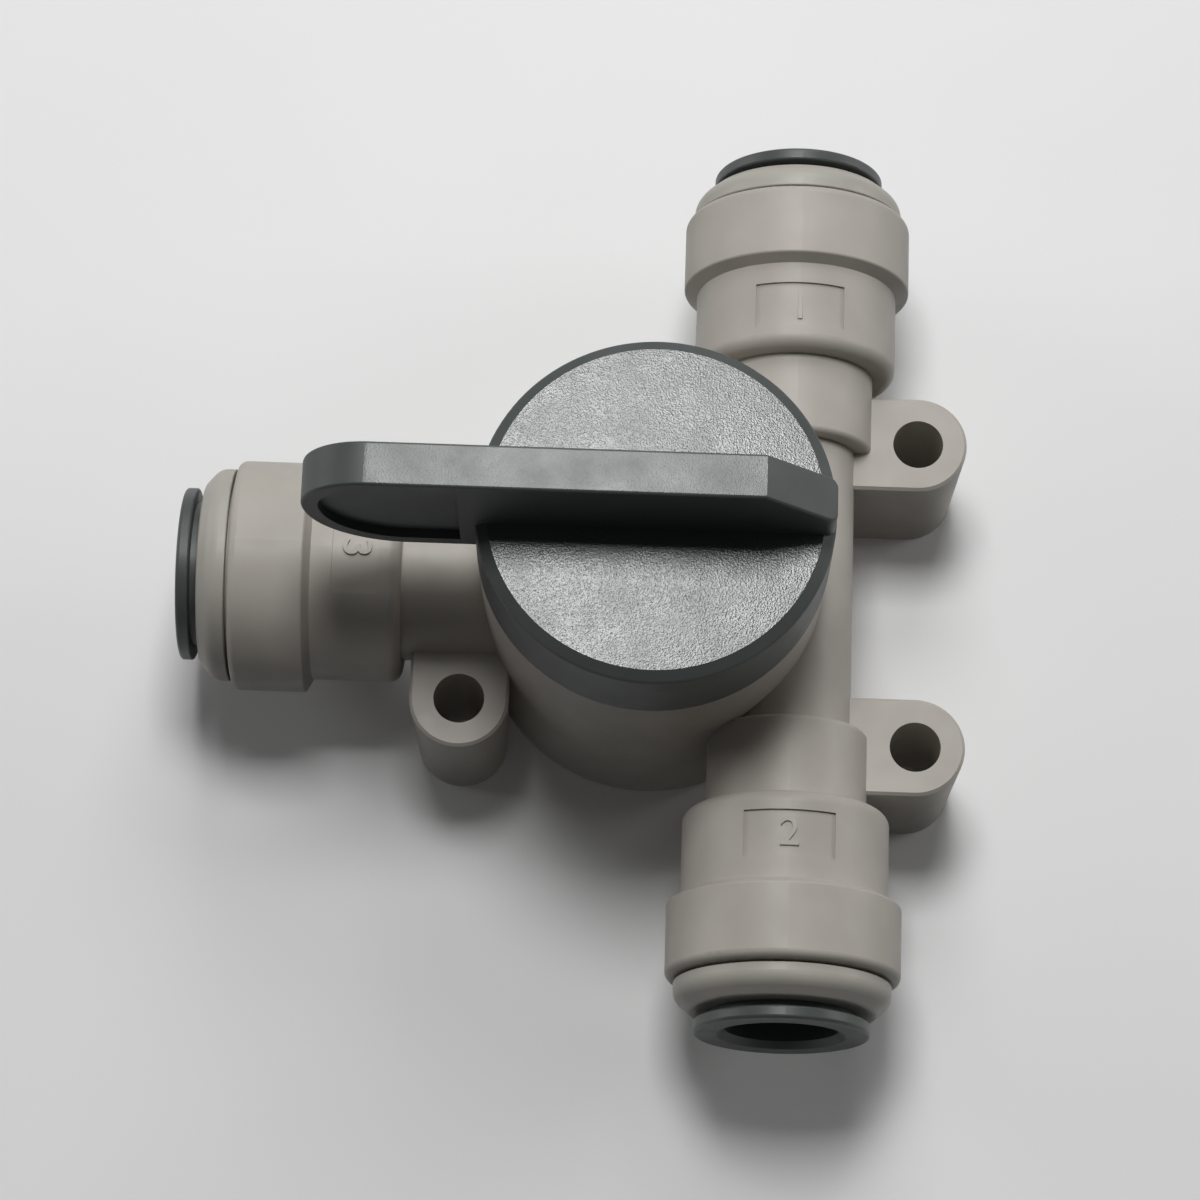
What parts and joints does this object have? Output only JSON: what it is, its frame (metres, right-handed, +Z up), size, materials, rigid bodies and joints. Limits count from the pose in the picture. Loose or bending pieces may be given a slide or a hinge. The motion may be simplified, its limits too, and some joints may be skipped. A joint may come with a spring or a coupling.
{
  "type": "three way valve",
  "caption": "Plastic push-fit three way valve: straight run with a side branch, round barrel, blade handle on a disc, and screw lugs with tall posts.",
  "frame": {"origin": "on the handle's axis, in the flat underside that the valve is screwed down on", "axes": "+Z up the handle's axis; +Y along the straight run towards the rear port; -X towards the branch port"},
  "size_m": [0.0681, 0.0784, 0.043],
  "materials": {
    "body_plastic": "warm light grey moulded polypropylene, satin",
    "cap_plastic": "light grey moulded plastic, satin",
    "collet_plastic": "charcoal acetal, smooth",
    "handle_plastic": "charcoal plastic, spark-eroded top faces, smooth rim",
    "rotor_acetal": "natural acetal, machined smooth",
    "bonnet_plastic": "warm light grey moulded plastic",
    "washer_ptfe": "white low-friction washer",
    "seal_rubber": "black rubber",
    "spring_steel": "stainless spring steel",
    "tooth_steel": "stainless steel strip"
  },
  "bodies": {
    "body": {"valve_body": "body_plastic", "seal_liner": "seal_rubber", "thrust_washer": "washer_ptfe", "bonnet": "bonnet_plastic", "bonnet_o_ring": "seal_rubber", "bonnet_circlip": "spring_steel", "rear_end_cap": "cap_plastic", "rear_tube_o_ring": "seal_rubber", "front_end_cap": "cap_plastic", "front_tube_o_ring": "seal_rubber", "branch_end_cap": "cap_plastic", "branch_tube_o_ring": "seal_rubber"},
    "handle": {"handle": "handle_plastic", "rotor": "rotor_acetal", "stem_o_rings": "seal_rubber"},
    "rear_collet": {"rear_collet": "collet_plastic", "rear_collet_teeth": "tooth_steel"},
    "front_collet": {"front_collet": "collet_plastic", "front_collet_teeth": "tooth_steel"},
    "branch_collet": {"branch_collet": "collet_plastic", "branch_collet_teeth": "tooth_steel"}
  },
  "joints": [
    {"name": "handle_turn", "type": "hinge", "parent": "body", "child": "handle", "pos_m": [0, 0, 0.013], "axis": [0, 0, 1], "range_deg": [-90, 90]},
    {"name": "rear_collet_slide", "type": "slide", "parent": "body", "child": "rear_collet", "axis": [0, 1, 0], "range_m": [-0.0007, 0.0013]},
    {"name": "front_collet_slide", "type": "slide", "parent": "body", "child": "front_collet", "axis": [0, -1, 0], "range_m": [-0.0007, 0.0013]},
    {"name": "branch_collet_slide", "type": "slide", "parent": "body", "child": "branch_collet", "axis": [-1, 0, 0], "range_m": [-0.0007, 0.0013]}
  ]
}
